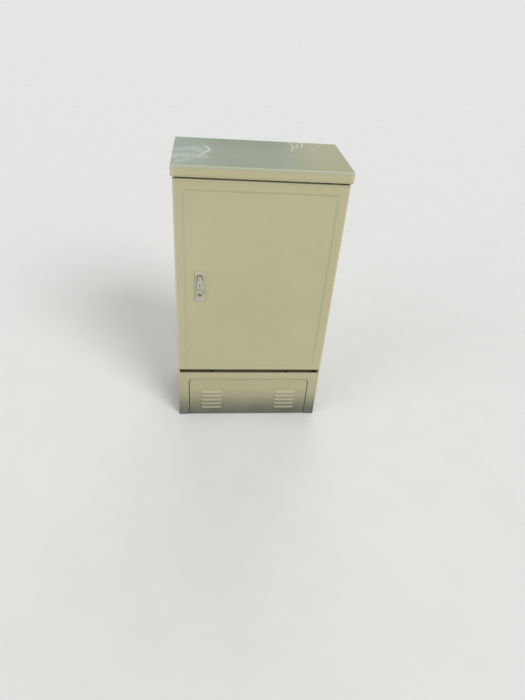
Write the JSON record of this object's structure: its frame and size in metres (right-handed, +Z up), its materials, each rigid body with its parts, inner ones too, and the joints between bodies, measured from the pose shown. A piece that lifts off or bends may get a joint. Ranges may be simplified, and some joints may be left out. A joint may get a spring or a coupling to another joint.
{
  "type": "fiber optic cabinet",
  "caption": "Floor-standing outdoor fiber optic cabinet in painted sheet steel, with a lockable full-width door, sliding splice trays, and a louvred plinth cover.",
  "frame": {"origin": "on the ground, under the middle of the body", "axes": "+Z up, the door faces -Y, +X to the right of someone facing the door"},
  "size_m": [0.58, 0.3256, 1.04],
  "materials": {
    "exterior_paint": "fine-textured powder coat, pebble grey",
    "interior_paint": "smooth powder coat, pebble grey",
    "galvanised_steel": "zinc coated",
    "plated_steel": "bright zinc plated",
    "zinc_casting": "satin die casting",
    "dark_lock_metal": "dark plug",
    "black_rubber": "moulded rubber",
    "grey_plastic": "moulded nylon",
    "brass_bar": "drawn bar",
    "red_insulator": "moulded standoff",
    "tray_plastic": "moulded plastic",
    "clear_lid": "clear moulded lid",
    "blue_adapter": "moulded adapter"
  },
  "bodies": {
    "cabinet": {"body_shell": "exterior_paint", "roof_cap": "exterior_paint", "top_rail": "exterior_paint", "plinth_frame": "exterior_paint", "plinth_cover": "exterior_paint", "cover_bolts": "exterior_paint", "top_panel": "interior_paint", "front_frame": "interior_paint", "floor_plate": "interior_paint", "rack_side_left": "interior_paint", "rack_side_right": "interior_paint", "storage_panel": "interior_paint", "clamp_rail": "interior_paint", "roof_channels": "galvanised_steel", "base_frame": "galvanised_steel", "roof_bolts": "plated_steel", "hinge_pin_lower": "plated_steel", "hinge_pin_upper": "plated_steel", "cable_grommets": "black_rubber", "fibre_spools": "grey_plastic", "cable_clamps": "grey_plastic", "earth_bar": "brass_bar", "earth_insulators": "red_insulator"},
    "door": {"door_panel": "exterior_paint", "door_seal": "black_rubber", "door_stiffeners": "interior_paint", "document_pocket": "interior_paint", "hinge_block_lower": "galvanised_steel", "hinge_block_upper": "galvanised_steel", "lock_plate": "zinc_casting", "lock_case": "galvanised_steel", "rod_guides": "grey_plastic", "lock_screws": "plated_steel"},
    "handle_hub": {"lock_hub": "zinc_casting", "lock_pinion": "plated_steel", "latch_cam": "galvanised_steel", "cam_nut": "plated_steel"},
    "lever": {"lever_handle": "zinc_casting", "handle_pin": "plated_steel"},
    "key": {"key_cylinder": "dark_lock_metal"},
    "upper_rod": {"upper_lock_rod": "galvanised_steel"},
    "lower_rod": {"lower_lock_rod": "galvanised_steel"},
    "tray_1": {"splice_tray_1": "tray_plastic", "tray_cover_1": "clear_lid", "tray_adapters_1": "blue_adapter"},
    "tray_2": {"splice_tray_2": "tray_plastic", "tray_cover_2": "clear_lid", "tray_adapters_2": "blue_adapter"},
    "tray_3": {"splice_tray_3": "tray_plastic", "tray_cover_3": "clear_lid", "tray_adapters_3": "blue_adapter"},
    "tray_4": {"splice_tray_4": "tray_plastic", "tray_cover_4": "clear_lid", "tray_adapters_4": "blue_adapter"},
    "tray_5": {"splice_tray_5": "tray_plastic", "tray_cover_5": "clear_lid", "tray_adapters_5": "blue_adapter"},
    "tray_6": {"splice_tray_6": "tray_plastic", "tray_cover_6": "clear_lid", "tray_adapters_6": "blue_adapter"}
  },
  "joints": [
    {"name": "door_swing", "type": "hinge", "parent": "cabinet", "child": "door", "pos_m": [0.2715, -0.145, 0.617], "axis": [0, 0, 1], "range_deg": [0, 120]},
    {"name": "handle_turn", "type": "hinge", "parent": "door", "child": "handle_hub", "pos_m": [-0.199, -0.152, 0.651], "axis": [0, 1, 0], "range_deg": [0, 90]},
    {"name": "handle_lift", "type": "hinge", "parent": "handle_hub", "child": "lever", "pos_m": [-0.199, -0.1584, 0.654], "axis": [-1, 0, 0], "range_deg": [0, 35]},
    {"name": "key_turn", "type": "hinge", "parent": "lever", "child": "key", "pos_m": [-0.199, -0.1584, 0.585], "axis": [0, 1, 0], "range_deg": [0, 90]},
    {"name": "upper_rod_slide", "type": "slide", "parent": "door", "child": "upper_rod", "axis": [0, 0, 1], "range_m": [0, 0.01415]},
    {"name": "lower_rod_slide", "type": "slide", "parent": "door", "child": "lower_rod", "axis": [0, 0, -1], "range_m": [0, 0.01415]},
    {"name": "tray_1_slide", "type": "slide", "parent": "cabinet", "child": "tray_1", "axis": [0, -1, 0], "range_m": [0, 0.06]},
    {"name": "tray_2_slide", "type": "slide", "parent": "cabinet", "child": "tray_2", "axis": [0, -1, 0], "range_m": [0, 0.06]},
    {"name": "tray_3_slide", "type": "slide", "parent": "cabinet", "child": "tray_3", "axis": [0, -1, 0], "range_m": [0, 0.06]},
    {"name": "tray_4_slide", "type": "slide", "parent": "cabinet", "child": "tray_4", "axis": [0, -1, 0], "range_m": [0, 0.06]},
    {"name": "tray_5_slide", "type": "slide", "parent": "cabinet", "child": "tray_5", "axis": [0, -1, 0], "range_m": [0, 0.06]},
    {"name": "tray_6_slide", "type": "slide", "parent": "cabinet", "child": "tray_6", "axis": [0, -1, 0], "range_m": [0, 0.06]}
  ],
  "couplings": [
    {"joint": "upper_rod_slide", "follows": "handle_turn", "m_per_rad": 0.009},
    {"joint": "lower_rod_slide", "follows": "handle_turn", "m_per_rad": 0.009}
  ]
}
